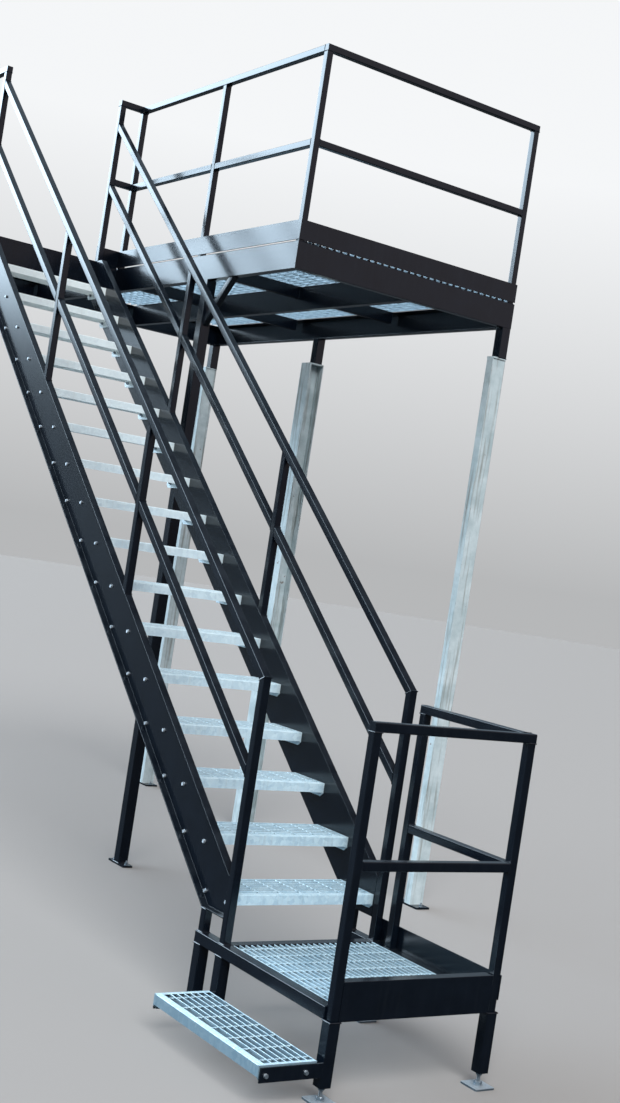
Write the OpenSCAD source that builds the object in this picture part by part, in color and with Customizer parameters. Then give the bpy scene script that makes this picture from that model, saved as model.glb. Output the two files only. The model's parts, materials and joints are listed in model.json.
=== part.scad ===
// Steel stair outside a building. One straight flight rises from a low landing
// to a high platform. All sizes are in millimetres.
// X runs across the flight towards the wall, Y runs the way the flight climbs, Z is up.
// The origin is on the ground under the landing's front left leg.

/* [Flight] */
// Height of one step
rise = 198; // [194:1:200]
// Distance from one tread's front edge to the next
run = 246; // [240:1:250]
// Distance between the left and right lines of posts
width = 782; // [740:2:860]
// Depth of the channels that carry the treads, square to the slope
stringer_depth = 254; // [244:1:262]
// Height of each channel's top above the line of tread noses, square to the slope
stringer_lift = 70; // [62:1:80]

/* [Landing] */
// Height of the bottom landing's deck above the ground
landing_h = 356; // [340:1:400]
// Distance from the front line of legs to the posts at the foot of the flight
landing_l = 791; // [760:1:860]
// Height of the entry step's deck above the ground
step_h = 166; // [150:1:180]

/* [Platform] */
// Distance from the flight's right line of posts to the platform's left line
return_l = 166; // [140:1:220]
// Distance across the platform, from its left line of posts to its line at the wall
platform_w = 1551; // [1450:1:1650]
// Distance from the front line of legs to the platform's front line of posts
platform_y = 2548; // [2500:1:2640]
// Distance from the top landing's front edge to the far post on its left side
top_landing_l = 1293; // [1200:1:1400]
// Width of the dark columns and of the stub legs, which are square tubes
column_w = 64; // [60:1:76]
// Height of the stub legs between the platform and the pale columns on the wall side
stub_h = 185; // [150:1:240]

/* [Rails] */
// Height of the level top rails above their deck
rail_h = 1078; // [1040:1:1120]
// Height of the level middle rails' centre lines above their deck
mid_h = 535; // [500:1:560]
// Height of the sloping top rails' centre lines above the line of tread noses
slope_h = 938; // [900:1:960]
// Height of the sloping middle rails' centre lines above the line of tread noses
slope_mid_h = 530; // [490:1:560]
// Width of the square tube of the posts and rails
tube = 38; // [34:1:40]
// Height of the toe plates above their deck
toe_h = 100; // [90:1:110]

/* [Hidden] */

paint = "#1c2026";
zinc = "#b9bfc4";
pale = "#a9b3ae";

tread_count = 16;
slope = atan(rise / run);
half = tube / 2;
// A sloping tube's height where a plumb line cuts it
slope_half = half / cos(slope);

// Bottom landing: square legs under square beams, and a channel along the front
leg_w = 51;
leg_half = leg_w / 2;
foot_w = 100;
foot_t = 8;
foot_clear = 60;
beam_low = landing_h - leg_w;
landing_deck_t = 32;
bearer_h = leg_w - landing_deck_t;
bearer_w = 40;
front_channel_lift = 101;
// The landing's back right post stands this far in front of the post at the flight's foot
back_post_inset = 122;

// The bars of a grating and of a tread
bar_t = 5;
rod_t = 6;

// Treads
tread_depth = 256;
tread_bar_h = 32;
nose_h = 44;
nose_w = 30;
nose_t = 5;
end_plate_h = 64;
end_plate_t = 5;
first_nose_y = landing_l + 25;

// Channels
web_t = 6;
flange_t = 7;
beam_flange = 45;
beam_d = 152;

// The sloping channels start and end in plumb cuts, and sit on a level cut at the foot
seat_lift = 100;
seat_z = landing_h + seat_lift;
foot_y = landing_l + half;
top_off = stringer_lift / cos(slope);
low_off = (stringer_depth - stringer_lift) / cos(slope);
seat_end_y = nose_y(seat_z + low_off);
strut_y = seat_end_y - half;

// Platform. Its wall side and its far side have no rail
platform_h = landing_h + rise * (tread_count + 1);
deck_t = 20;
top_front_y = first_nose_y + run * tread_count - 14;
far_y = top_front_y + top_landing_l;
outset = half + web_t;
left_x = width + return_l;
wall_x = left_x + platform_w;
middle_x = (left_x + wall_x) / 2;
frame_top = platform_h - deck_t;
frame_low = frame_top - beam_d;
joist_y = [for (i = [1, 2]) platform_y + (far_y - platform_y) * i / 3];
joist_h = 76;
corner_post_y = top_front_y - half;
left_end_y = top_front_y + 62;
mid_post_y = (platform_y + corner_post_y) / 2;
rail_low = platform_h + rail_h - tube;
toe_t = 6;
// The platform's toe plates hang this far below its deck, and leave a slit over the frame
toe_lap = 10;

// Columns. Two dark ones reach the platform's frame. Three pale ones stand on the wall
// side under stub legs: an I section in the middle, and a channel section at each end
side_column_back = 942;
middle_column_back = 1992;
far_column_y = far_y + outset - column_w / 2;
dark_column_xy = [[left_x, platform_y + side_column_back], [column_w / 2 - outset, far_column_y]];
stub_x = wall_x + outset - column_w / 2;
stub_y = [platform_y - outset + column_w / 2, platform_y + middle_column_back, far_column_y];
stub_low = frame_low - stub_h;
cap_t = 10;
i_size = [114, 120];
u_size = [100, 54];
section_t = 8;
i_x = wall_x + outset - i_size[0] / 2;
u_x = wall_x + outset - u_size[0] / 2;
// Each base plate's middle and its width
bases = [for (p = dark_column_xy) [p[0], p[1], column_w],
  [u_x, stub_y[0], u_size[0]], [i_x, stub_y[1], i_size[0]], [u_x, stub_y[2], u_size[0]]];
base_l = 190;
base_t = 12;
anchor_d = 14;
anchor_spacing = 144;
brace_reach = 250;

// Height of the line of tread noses at a distance y, and the reverse
function nose_z(y) = landing_h + rise * (1 + (y - first_nose_y) / run);
function nose_y(z) = first_nose_y + run * ((z - landing_h) / rise - 1);
function rail_z(y) = nose_z(y) + slope_h;
function mid_rail_z(y) = nose_z(y) + slope_mid_h;
// Lines of posts along a flight's side that ends at y_end
function flight_post_y(y_end) = [for (i = [0 : 2]) landing_l + (y_end - landing_l) * i / 3];

// A block between two limits on each axis
module brick(x, y, z) {
  translate([min(x), min(y), min(z)])
    cube([abs(x[1] - x[0]), abs(y[1] - y[0]), abs(z[1] - z[0])]);
}

// A square tube that stands on end, as a solid
module upright(x, y, z, w) {
  brick([x - w / 2, x + w / 2], [y - w / 2, y + w / 2], z);
}

// An outline drawn in Y and Z, made into a slab between two limits on X
module slab(x, outline) {
  translate([min(x), 0, 0])
    rotate([90, 0, 90])
      linear_extrude(abs(x[1] - x[0]))
        polygon(outline);
}

// A channel along X. Its web stands at y and its flanges point to side, +1 or -1
module channel_along_x(x, y, side, z, trim = 0) {
  brick(x, [y, y + side * web_t], z);
  for (zf = [[z[0], z[0] + flange_t], [z[1] - flange_t, z[1]]])
    brick([x[0] + trim, x[1] - trim], [y, y + side * beam_flange], zf);
}

// A channel along Y. The flanges may stop short of the web's ends
module channel_along_y(y, x, side, z, flange_y) {
  brick([x, x + side * web_t], y, z);
  for (zf = [[z[0], z[0] + flange_t], [z[1] - flange_t, z[1]]])
    brick([x, x + side * beam_flange], flange_y, zf);
}

// A bar grating: thin bars on edge along Y, tied by square rods along X
module grating(x, y, z, bars, rods) {
  bar_pitch = (x[1] - x[0] - bar_t) / (bars - 1);
  rod_pitch = (y[1] - y[0]) / rods;
  for (i = [0 : bars - 1])
    brick([x[0] + i * bar_pitch, x[0] + i * bar_pitch + bar_t], y, z);
  for (j = [0 : rods - 1])
    brick(x, [y[0] + (j + 0.5) * rod_pitch, y[0] + (j + 0.5) * rod_pitch + rod_t],
      [z[1] - rod_t, z[1]]);
}

// One tread, from the origin along X and back along Y, with its deck at height 0
module tread(length) {
  bars = 6;
  rods = 7;
  bar_pitch = (tread_depth - nose_w - bar_t) / bars;
  rod_pitch = length / rods;
  color(zinc) {
    brick([0, length], [0, nose_t], [-nose_h, 0]);
    brick([0, length], [0, nose_w], [-nose_t, 0]);
    for (i = [1 : bars])
      brick([0, length], [nose_w + i * bar_pitch, nose_w + i * bar_pitch + bar_t], [-tread_bar_h, 0]);
    for (j = [0 : rods - 1])
      brick([(j + 0.5) * rod_pitch, (j + 0.5) * rod_pitch + rod_t], [0, tread_depth], [-rod_t, 0]);
    for (x = [0, length - end_plate_t])
      brick([x, x + end_plate_t], [0, tread_depth], [-end_plate_h, 0]);
  }
}

module flight_tread(k) {
  translate([half, first_nose_y + run * (k - 1), landing_h + rise * k])
    tread(width - tube);
}

// One adjustable foot: a plate, a threaded stud and its nut
module levelling_foot() {
  brick([-foot_w / 2, foot_w / 2], [-foot_w / 2, foot_w / 2], [0, foot_t]);
  translate([0, 0, foot_t])
    cylinder(d = 16, h = foot_clear - foot_t, $fn = 24);
  translate([0, 0, foot_t])
    cylinder(d = 32, h = 13, $fn = 6);
}

module at_each_leg() {
  for (x = [0, width])
    for (y = [0, landing_l, strut_y])
      translate([x, y, 0])
        children();
}

module levelling_feet() {
  color(zinc)
    at_each_leg()
      levelling_foot();
}

module landing_legs() {
  color(paint)
    at_each_leg()
      upright(0, 0, [foot_clear, beam_low], leg_w);
}

module landing_side_beams() {
  color(paint)
    for (x = [0, width])
      brick([x - leg_half, x + leg_half], [half, strut_y + leg_half], [beam_low, landing_h]);
}

module landing_cross_beams() {
  color(paint) {
    brick([leg_half, width - leg_half], [landing_l - leg_half, landing_l + leg_half], [beam_low, landing_h]);
    for (part = [0.08, 0.5, 0.9])
      brick([leg_half, width - leg_half],
        [landing_l * part - bearer_w / 2, landing_l * part + bearer_w / 2],
        [beam_low, beam_low + bearer_h]);
  }
}

module landing_front_channel() {
  color(paint)
    channel_along_x([half, width - half], -half, 1, [beam_low, landing_h + front_channel_lift],
      leg_half - half + 1);
}

module landing_grating() {
  color(zinc)
    grating([leg_half + 1, width - leg_half - 1], [web_t - half + 1, landing_l - leg_half - 1],
      [beam_low + bearer_h, landing_h], 26, 8);
}

module landing_toe_plate() {
  color(paint)
    brick([width + half, width + half + toe_t], [-half, foot_y], [landing_h, landing_h + toe_h]);
}

module landing_posts() {
  top = landing_h + rail_h - tube;
  color(paint) {
    upright(0, 0, [beam_low, top], tube);
    upright(width, 0, [beam_low, top], tube);
    upright(width, landing_l - back_post_inset, [landing_h, top], tube);
  }
}

module landing_front_rails() {
  top = landing_h + rail_h;
  mid = landing_h + mid_h;
  color(paint) {
    brick([-half, width + half], [-half, half], [top - tube, top]);
    brick([half, width - half], [-half, half], [mid - half, mid + half]);
  }
}

module landing_side_rails() {
  top = landing_h + rail_h;
  mid = landing_h + mid_h;
  back = landing_l - back_post_inset;
  color(paint) {
    brick([width - half, width + half], [half, back + half], [top - tube, top]);
    brick([width - half, width + half], [half, back - half], [mid - half, mid + half]);
  }
}

// The entry step is one tread turned to face left, with its back edge beside the legs.
// Its arms cover the end plates and start behind the nosing
step_l = landing_l + 5;
step_gap = 27;
arm_drop = 8;
step_x = -leg_half - step_gap - tread_depth;
step_front_y = -18;

module entry_step() {
  translate([step_x, step_front_y + step_l, step_h])
    rotate([0, 0, -90])
      tread(step_l);
}

module step_arms() {
  color(paint)
    for (y = [step_front_y - web_t, step_front_y + step_l])
      brick([step_x + nose_t, -leg_half], [y, y + web_t], [step_h - end_plate_h, step_h - arm_drop]);
}

// A sloping channel with its web at web_x and its flanges from there to flange_x
module stringer(web_x, flange_x) {
  side = sign(flange_x - web_x);
  flange_v = flange_t / cos(slope);
  bend = (flange_v - flange_t) / tan(slope);
  top_bend_y = nose_y(platform_h - top_off);
  low_end_z = nose_z(top_front_y) - low_off;
  color(paint) {
    slab([web_x, web_x + side * web_t],
      [[foot_y, seat_z], [foot_y, nose_z(foot_y) + top_off], [top_bend_y, platform_h],
       [top_front_y, platform_h], [top_front_y, low_end_z], [seat_end_y, seat_z]]);
    slab([web_x, flange_x],
      [[foot_y, nose_z(foot_y) + top_off - flange_v], [foot_y, nose_z(foot_y) + top_off],
       [top_bend_y, platform_h], [top_front_y, platform_h], [top_front_y, platform_h - flange_t],
       [top_bend_y + bend, platform_h - flange_t]]);
    slab([web_x, flange_x],
      [[foot_y, seat_z], [foot_y, seat_z + flange_t], [seat_end_y - bend, seat_z + flange_t],
       [top_front_y, low_end_z + flange_v], [top_front_y, low_end_z], [seat_end_y, seat_z]]);
  }
}

module left_stringer() {
  stringer(half, -half);
}

module right_stringer() {
  stringer(width - half, width + half);
}

module stringer_struts() {
  color(paint)
    for (x = [0, width])
      upright(x, strut_y, [landing_h, seat_z], tube);
}

// Posts of one side of the flight. The first one stands on the landing and meets the
// sloping rail in a mitre, and the others stand on the sloping channel
module flight_posts(x, y_end) {
  y = flight_post_y(y_end);
  color(paint) {
    slab([x - half, x + half],
      [[y[0] - half, landing_h], [y[0] + half, landing_h],
       [y[0] + half, rail_z(y[0] + half) - slope_half], [y[0] - half, rail_z(y[0] - half) + slope_half]]);
    for (i = [1, 2])
      slab([x - half, x + half],
        [[y[i] - half, nose_z(y[i] - half) + top_off], [y[i] + half, nose_z(y[i] + half) + top_off],
         [y[i] + half, rail_z(y[i] + half) - slope_half], [y[i] - half, rail_z(y[i] - half) - slope_half]]);
  }
}

module left_flight_posts() {
  flight_posts(0, left_end_y);
}

module right_flight_posts() {
  flight_posts(width, corner_post_y);
}

module flight_top_rail(x, y_end) {
  y0 = landing_l - half;
  y1 = landing_l + half;
  y2 = y_end - half;
  slab([x - half, x + half],
    [[y0, rail_z(y0) + slope_half], [y1, rail_z(y1) - slope_half],
     [y2, rail_z(y2) - slope_half], [y2, rail_z(y2) + slope_half]]);
}

module flight_top_rails() {
  color(paint) {
    flight_top_rail(0, left_end_y);
    flight_top_rail(width, corner_post_y);
  }
}

module flight_middle_rail(x, y_end) {
  y = concat(flight_post_y(y_end), [y_end]);
  for (i = [0 : 2]) {
    a = y[i] + half;
    b = y[i + 1] - half;
    slab([x - half, x + half],
      [[a, mid_rail_z(a) - slope_half], [a, mid_rail_z(a) + slope_half],
       [b, mid_rail_z(b) + slope_half], [b, mid_rail_z(b) - slope_half]]);
  }
}

module flight_middle_rails() {
  color(paint) {
    flight_middle_rail(0, left_end_y);
    flight_middle_rail(width, corner_post_y);
  }
}

module columns() {
  color(paint)
    for (p = dark_column_xy)
      upright(p[0], p[1], [base_t, frame_low], column_w);
}

module stub_legs() {
  color(paint)
    for (y = stub_y)
      upright(stub_x, y, [stub_low, frame_low], column_w);
}

// A plate over a column's whole section and a stub leg's foot
module cap_plate(x, y, size) {
  brick([x - size[0] / 2, x + size[0] / 2], [y - max(size[1], column_w) / 2, y + max(size[1], column_w) / 2],
    [stub_low - cap_t, stub_low]);
}

module i_column(x, y) {
  z = [base_t, stub_low];
  brick([x - i_size[0] / 2, x + i_size[0] / 2], [y - web_t / 2, y + web_t / 2], z);
  for (s = [-1, 1])
    brick([x + s * i_size[0] / 2, x + s * (i_size[0] / 2 - section_t)],
      [y - i_size[1] / 2, y + i_size[1] / 2], z);
  cap_plate(x, y, i_size);
}

module u_column(x, y) {
  z = [base_t, stub_low];
  front = y - u_size[1] / 2;
  brick([x - u_size[0] / 2, x + u_size[0] / 2], [front, front + web_t], z);
  for (s = [-1, 1])
    brick([x + s * u_size[0] / 2, x + s * (u_size[0] / 2 - section_t)], [front, front + u_size[1]], z);
  cap_plate(x, y, u_size);
}

module wall_side_columns() {
  color(pale) {
    u_column(u_x, stub_y[0]);
    i_column(i_x, stub_y[1]);
    u_column(u_x, stub_y[2]);
  }
}

module column_bases() {
  color(paint)
    for (b = bases)
      difference() {
        brick([b[0] - b[2] / 2, b[0] + b[2] / 2], [b[1] - base_l / 2, b[1] + base_l / 2], [0, base_t]);
        for (s = [-1, 1])
          translate([b[0], b[1] + s * anchor_spacing / 2, -1])
            cylinder(d = anchor_d, h = base_t + 2, $fn = 32);
      }
}

module knee_brace() {
  face_y = dark_column_xy[0][1] - column_w / 2;
  cut = half * sqrt(2);
  color(paint)
    slab([left_x - half, left_x + half],
      [[face_y - brace_reach - cut, frame_low], [face_y - brace_reach + cut, frame_low],
       [face_y, frame_low - brace_reach + cut], [face_y, frame_low - brace_reach - cut]]);
}

module platform_front_channel() {
  color(paint)
    channel_along_x([left_x - outset, wall_x + outset], platform_y - outset, 1,
      [frame_low, frame_top], web_t);
}

module platform_far_channel() {
  color(paint)
    channel_along_x([-outset, wall_x + outset], far_y + outset, -1, [frame_low, frame_top], web_t);
}

module platform_side_channels() {
  front = platform_y - half;
  front_tip = platform_y - outset + beam_flange;
  far = far_y + half;
  far_tip = far_y + outset - beam_flange;
  color(paint) {
    channel_along_y([front, far_tip], left_x - outset, 1, [frame_low, frame_top], [front_tip, far_tip]);
    channel_along_y([front_tip, far_tip], middle_x, 1, [frame_low, frame_top], [front_tip, far_tip]);
    channel_along_y([front, far], wall_x + outset, -1, [frame_low, frame_top], [front_tip, far_tip]);
  }
}

// The web of this channel stands up to the deck and closes the grating's front edge
module top_landing_front_channel() {
  x = [-outset, left_x - outset];
  color(paint) {
    channel_along_x(x, top_front_y, 1, [frame_low, frame_top], web_t);
    brick(x, [top_front_y, top_front_y + web_t], [frame_low, platform_h]);
  }
}

module top_landing_left_channel() {
  color(paint)
    channel_along_y([top_front_y + web_t, far_y + half], -outset, 1, [frame_low, frame_top],
      [top_front_y + beam_flange, far_y + outset - beam_flange]);
}

module platform_joists() {
  tip = beam_flange - outset;
  z = [frame_top - joist_h, frame_top];
  bay_y = (top_front_y + far_y) / 2;
  color(paint) {
    for (y = joist_y) {
      brick([left_x + tip, middle_x], [y - half, y + half], z);
      brick([middle_x + beam_flange, wall_x - tip], [y - half, y + half], z);
    }
    brick([tip, left_x - outset], [bay_y - half, bay_y + half], z);
  }
}

// The deck between the platform's left and wall sides is three panels, joined over joists
module platform_grating(y) {
  color(zinc)
    grating([left_x + half + 2, wall_x - half - 2], y, [frame_top, platform_h], 32, 11);
}

module platform_grating_front() {
  platform_grating([platform_y - half, joist_y[0] - 1]);
}

module platform_grating_middle() {
  platform_grating([joist_y[0] + 1, joist_y[1] - 1]);
}

module platform_grating_far() {
  platform_grating([joist_y[1] + 1, far_y - half - 1]);
}

module top_landing_grating() {
  color(zinc)
    grating([half + 2, left_x + half], [top_front_y + web_t + 1, far_y - half - 1],
      [frame_top, platform_h], 20, 12);
}

module toe_plate(x, y, lap = 0) {
  brick(x, y, [platform_h - lap, platform_h + toe_h]);
}

module front_toe_plates() {
  color(paint) {
    toe_plate([left_x - outset, wall_x + outset], [platform_y - outset, platform_y - half], toe_lap);
    toe_plate([width - half, left_x - half], [top_front_y, top_front_y + toe_t]);
  }
}

module side_toe_plates() {
  color(paint) {
    toe_plate([left_x - outset, left_x - half], [platform_y - half, top_front_y], toe_lap);
    toe_plate([-outset, -half], [left_end_y - half, far_y + half]);
  }
}

module platform_posts() {
  z = [frame_top, rail_low];
  color(paint) {
    upright(width, corner_post_y, [platform_h, rail_low], tube);
    for (y = [platform_y, mid_post_y, corner_post_y])
      upright(left_x, y, z, tube);
    upright(wall_x, platform_y, z, tube);
    for (y = [left_end_y, far_y])
      upright(0, y, z, tube);
  }
}

// Level rails of square tube, at the platform's two rail heights
module top_rail(x, y) {
  brick(x, y, [rail_low, rail_low + tube]);
}

module middle_rail(x, y) {
  mid = platform_h + mid_h;
  brick(x, y, [mid - half, mid + half]);
}

module platform_front_rails() {
  y = [platform_y - half, platform_y + half];
  color(paint) {
    top_rail([left_x - half, wall_x + half], y);
    middle_rail([left_x + half, wall_x - half], y);
  }
}

module platform_left_rails() {
  x = [left_x - half, left_x + half];
  color(paint) {
    top_rail(x, [platform_y + half, top_front_y]);
    middle_rail(x, [platform_y + half, mid_post_y - half]);
    middle_rail(x, [mid_post_y + half, corner_post_y - half]);
  }
}

module return_rails() {
  y = [corner_post_y - half, corner_post_y + half];
  color(paint) {
    top_rail([width - half, left_x - half], y);
    middle_rail([width + half, left_x - half], y);
  }
}

module top_landing_rails() {
  x = [-half, half];
  color(paint) {
    top_rail(x, [left_end_y - half, far_y + half]);
    middle_rail(x, [left_end_y + half, far_y - half]);
  }
}

levelling_feet();
landing_legs();
landing_side_beams();
landing_cross_beams();
landing_front_channel();
landing_grating();
landing_toe_plate();
landing_posts();
landing_front_rails();
landing_side_rails();
entry_step();
step_arms();
left_stringer();
right_stringer();
stringer_struts();
flight_tread(1);  // tread_01
flight_tread(2);  // tread_02
flight_tread(3);  // tread_03
flight_tread(4);  // tread_04
flight_tread(5);  // tread_05
flight_tread(6);  // tread_06
flight_tread(7);  // tread_07
flight_tread(8);  // tread_08
flight_tread(9);  // tread_09
flight_tread(10);  // tread_10
flight_tread(11);  // tread_11
flight_tread(12);  // tread_12
flight_tread(13);  // tread_13
flight_tread(14);  // tread_14
flight_tread(15);  // tread_15
flight_tread(16);  // tread_16
left_flight_posts();
right_flight_posts();
flight_top_rails();
flight_middle_rails();
columns();
stub_legs();
wall_side_columns();
column_bases();
knee_brace();
platform_front_channel();
platform_far_channel();
platform_side_channels();
top_landing_front_channel();
top_landing_left_channel();
platform_joists();
platform_grating_front();
platform_grating_middle();
platform_grating_far();
top_landing_grating();
front_toe_plates();
side_toe_plates();
platform_posts();
platform_front_rails();
platform_left_rails();
return_rails();
top_landing_rails();
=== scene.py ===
# %% [markdown]
# # An outdoor steel stair, from bare steelwork to finished object
# The frame holds the steel at its true size, in metres: X runs across the flight, Y runs the way
# it climbs and Z is up. This lesson gives that steel its finish, rounds the tubes as a mill rolls
# them, and adds what a drawing leaves out: bolts, threads, weld beads and the twisted cross rods
# of the gratings. Each step is one short cell.

# %% Load the steelwork
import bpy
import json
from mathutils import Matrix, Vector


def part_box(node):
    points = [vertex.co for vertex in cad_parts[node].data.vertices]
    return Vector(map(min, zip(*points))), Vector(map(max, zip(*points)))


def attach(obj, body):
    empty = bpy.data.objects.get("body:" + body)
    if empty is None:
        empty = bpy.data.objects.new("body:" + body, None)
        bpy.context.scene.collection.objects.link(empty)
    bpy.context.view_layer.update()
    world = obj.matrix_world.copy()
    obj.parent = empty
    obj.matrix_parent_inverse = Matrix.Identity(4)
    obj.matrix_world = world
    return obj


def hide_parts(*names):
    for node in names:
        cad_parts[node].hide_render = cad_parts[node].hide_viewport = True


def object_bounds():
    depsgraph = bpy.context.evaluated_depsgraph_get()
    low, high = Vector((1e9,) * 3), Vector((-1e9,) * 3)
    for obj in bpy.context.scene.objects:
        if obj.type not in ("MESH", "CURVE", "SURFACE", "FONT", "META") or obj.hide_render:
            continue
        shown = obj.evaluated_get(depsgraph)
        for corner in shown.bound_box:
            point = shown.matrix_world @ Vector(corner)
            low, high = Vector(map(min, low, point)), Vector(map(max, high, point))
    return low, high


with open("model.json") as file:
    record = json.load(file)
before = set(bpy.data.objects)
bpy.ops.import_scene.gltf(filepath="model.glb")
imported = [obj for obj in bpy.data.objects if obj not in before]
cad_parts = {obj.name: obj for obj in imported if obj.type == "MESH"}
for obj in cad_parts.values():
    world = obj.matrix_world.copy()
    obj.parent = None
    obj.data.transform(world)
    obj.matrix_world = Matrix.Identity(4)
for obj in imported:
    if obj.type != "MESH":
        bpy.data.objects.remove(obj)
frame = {"nodes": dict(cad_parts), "record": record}
cad_box = [list(corner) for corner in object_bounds()]

import json
import math
import random

import bmesh
import bpy
from mathutils import Matrix, Vector
from mathutils.bvhtree import BVHTree

MM = 0.001
print(len(frame["nodes"]), "nodes of steel, highest point", round(cad_box[1][2], 2), "m")

# %% [markdown]
# ## The camera
# The photograph was taken standing in front and to the left, about as high as the eighth tread,
# with the phone tilted a little so that upright posts lean. A camera is a place, three turning
# axes and a lens. The axes are written as a matrix, because the tilt mixes all three angles.
# The picture's height and the focal length are in pixels here. The lens follows from the two,
# since a tall picture uses the sensor's long side.

# %% Place the camera
PICTURE_HEIGHT = 1103
FOCAL_LENGTH = 1491.7
SENSOR = 36.0
FARTHEST_SEEN = 100
camera_place = Vector((-3.4231, -4.3944, 2.0115))
camera_right = Vector((0.8156, -0.5584, 0.1514))
camera_ahead = Vector((0.5646, 0.8253, 0.0020))


def new_object(name, data):
    """An object in the scene."""
    made = bpy.data.objects.new(name, data)
    bpy.context.scene.collection.objects.link(made)
    return made


def aim_camera(place, right, ahead):
    """Makes the scene's camera from its place and two of its axes."""
    ahead = ahead.normalized()
    right = (right - ahead * right.dot(ahead)).normalized()
    turn = Matrix((right, right.cross(ahead), -ahead)).transposed()
    camera = new_object("camera", bpy.data.cameras.new("camera"))
    camera.matrix_world = Matrix.Translation(place) @ turn.to_4x4()
    camera.data.sensor_width = SENSOR
    camera.data.lens = FOCAL_LENGTH / PICTURE_HEIGHT * SENSOR
    camera.data.clip_end = FARTHEST_SEEN
    bpy.context.scene.camera = camera
    return camera


camera = aim_camera(camera_place, camera_right, camera_ahead)
print("lens", round(camera.data.lens, 1), "mm")

# %% [markdown]
# ## A shorthand for shader nodes
# Every finish below is a small network. `add` places a node and `feed` fills its sockets by name. A
# value may be another node's output, so a network reads from top to bottom like a recipe. The
# recipes need few verbs: blend two colours, stretch a value, and let one mask through another.

# %% Shader shorthand


def feed(tree, node, **sockets):
    """Fills a node's sockets, each given by its name, with _ for a space, or by _ and its number."""
    for key, value in sockets.items():
        found = node.inputs[int(key[1:])] if key[1:].isdigit() else node.inputs[key.replace("_", " ")]
        if isinstance(value, bpy.types.NodeSocket):
            tree.links.new(value, found)
        else:
            found.default_value = value


def add(tree, kind, label="", settings=None, **sockets):
    """Adds a shader node, with its settings and its sockets filled."""
    node = tree.nodes.new(kind)
    node.label = label
    for key, value in (settings or {}).items():
        setattr(node, key, value)
    feed(tree, node, **sockets)
    return node


def blend_colours(tree, amount, first, second):
    """The colour between two, nearer the second as the amount grows."""
    mixed = add(tree, "ShaderNodeMix", settings={"data_type": "RGBA"}, _0=amount, _6=first, _7=second)
    return mixed.outputs[2]


def remap(tree, value, low, high, to_low=0.0, to_high=1.0):
    """Stretches the part of a value between low and high, and clamps the rest."""
    ranged = add(tree, "ShaderNodeMapRange", Value=value, From_Min=low, From_Max=high,
                 To_Min=to_low, To_Max=to_high)
    return ranged.outputs[0]


def through(tree, first, second):
    """One mask seen through another, which is their product."""
    return add(tree, "ShaderNodeMath", settings={"operation": "MULTIPLY"}, _0=first, _1=second).outputs[0]


def height_of(tree, vector):
    """The Z part of a vector."""
    return add(tree, "ShaderNodeSeparateXYZ", Vector=vector).outputs["Z"]


print("helpers: feed, add, blend_colours, remap, through and height_of")

# %% [markdown]
# ## Groups, for what several finishes share
# Rain with painted shade, and wear with a painted highlight, touch every piece, so each is a
# group: a small network with named inputs and outputs that is built once and placed in each
# material with its own values.

# %% Group shorthand


def new_group(name, inputs, outputs):
    """An empty shader group, with number inputs and their defaults, and number outputs."""
    group = bpy.data.node_groups.new(name, "ShaderNodeTree")
    for label, value in inputs.items():
        socket = group.interface.new_socket(name=label, in_out="INPUT", socket_type="NodeSocketFloat")
        socket.default_value = value
    for label in outputs:
        group.interface.new_socket(name=label, in_out="OUTPUT", socket_type="NodeSocketFloat")
    start = group.nodes.new("NodeGroupInput")
    return group, start.outputs, group.nodes.new("NodeGroupOutput")


def place_group(tree, group, **sockets):
    """Puts a group into a material, with this material's own values."""
    return add(tree, "ShaderNodeGroup", group.name, {"node_tree": group}, **sockets).outputs


def object_place(tree):
    """The point on the surface, in the object's own metres."""
    return add(tree, "ShaderNodeTexCoord").outputs["Object"]


def facing(tree):
    """The way the surface faces."""
    return add(tree, "ShaderNodeNewGeometry").outputs["Normal"]


print("helpers: new_group, place_group, object_place and facing")

# %% [markdown]
# ## Dust, rain marks and painted shade
# Steel outdoors is never one even colour. Dust settles on what faces up, and rain draws it down
# in long thin streaks. Both come from noise in object coordinates: the streaks are noise that is
# stretched along Z. The hollows, between the bars of a grating and in inner corners, are darkened
# as painted shade, and the Ambient Occlusion node finds those hollows.

# %% The weather and painted shade group
HOLLOW_REACH = 45 * MM
STREAK_SCALE = (42.0, 42.0, 2.2)
# Each pair says where a mask starts and where it is full
DUST_SLOPE = (0.25, 0.95)
DUST_PATCHES = (0.38, 0.68)
STREAK_LINES = (0.52, 0.74)
HOLLOW_DEPTH = (0.80, 0.30)


def make_weather_and_shade():
    """Masks for dust, streaks and painted shade in hollows, and the mottle that breaks them up."""
    group, given, end = new_group(
        "weather", {"Scale": 1.0, "Dust": 0.5, "Streaks": 0.5, "Hollows": 0.5},
        ("Dust", "Streaks", "Mottle", "Hollows"))
    scaled = add(group, "ShaderNodeVectorMath", settings={"operation": "SCALE"}, _0=object_place(group),
                 Scale=given["Scale"]).outputs[0]
    mottle = add(group, "ShaderNodeTexNoise", "mottle", Vector=scaled, Scale=9.0, Detail=6.0,
                 Roughness=0.62).outputs["Fac"]
    stretched = add(group, "ShaderNodeMapping", "down the face", Vector=scaled, Scale=STREAK_SCALE)
    streak = add(group, "ShaderNodeTexNoise", "streaks", Vector=stretched.outputs[0], Scale=1.0,
                 Detail=4.0, Roughness=0.55).outputs["Fac"]
    faces_up = remap(group, height_of(group, facing(group)), *DUST_SLOPE)
    settled = through(group, faces_up, remap(group, mottle, *DUST_PATCHES))
    # The darkness that Ambient Occlusion finds in hollows becomes a mask of painted shade
    open_air = add(group, "ShaderNodeAmbientOcclusion", settings={"samples": 3}, Distance=HOLLOW_REACH)
    closed_in = remap(group, open_air.outputs["AO"], *HOLLOW_DEPTH)
    feed(group, end, Dust=through(group, settled, given["Dust"]),
         Streaks=through(group, remap(group, streak, *STREAK_LINES), given["Streaks"]),
         Hollows=through(group, closed_in, given["Hollows"]), Mottle=mottle)
    return group


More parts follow.
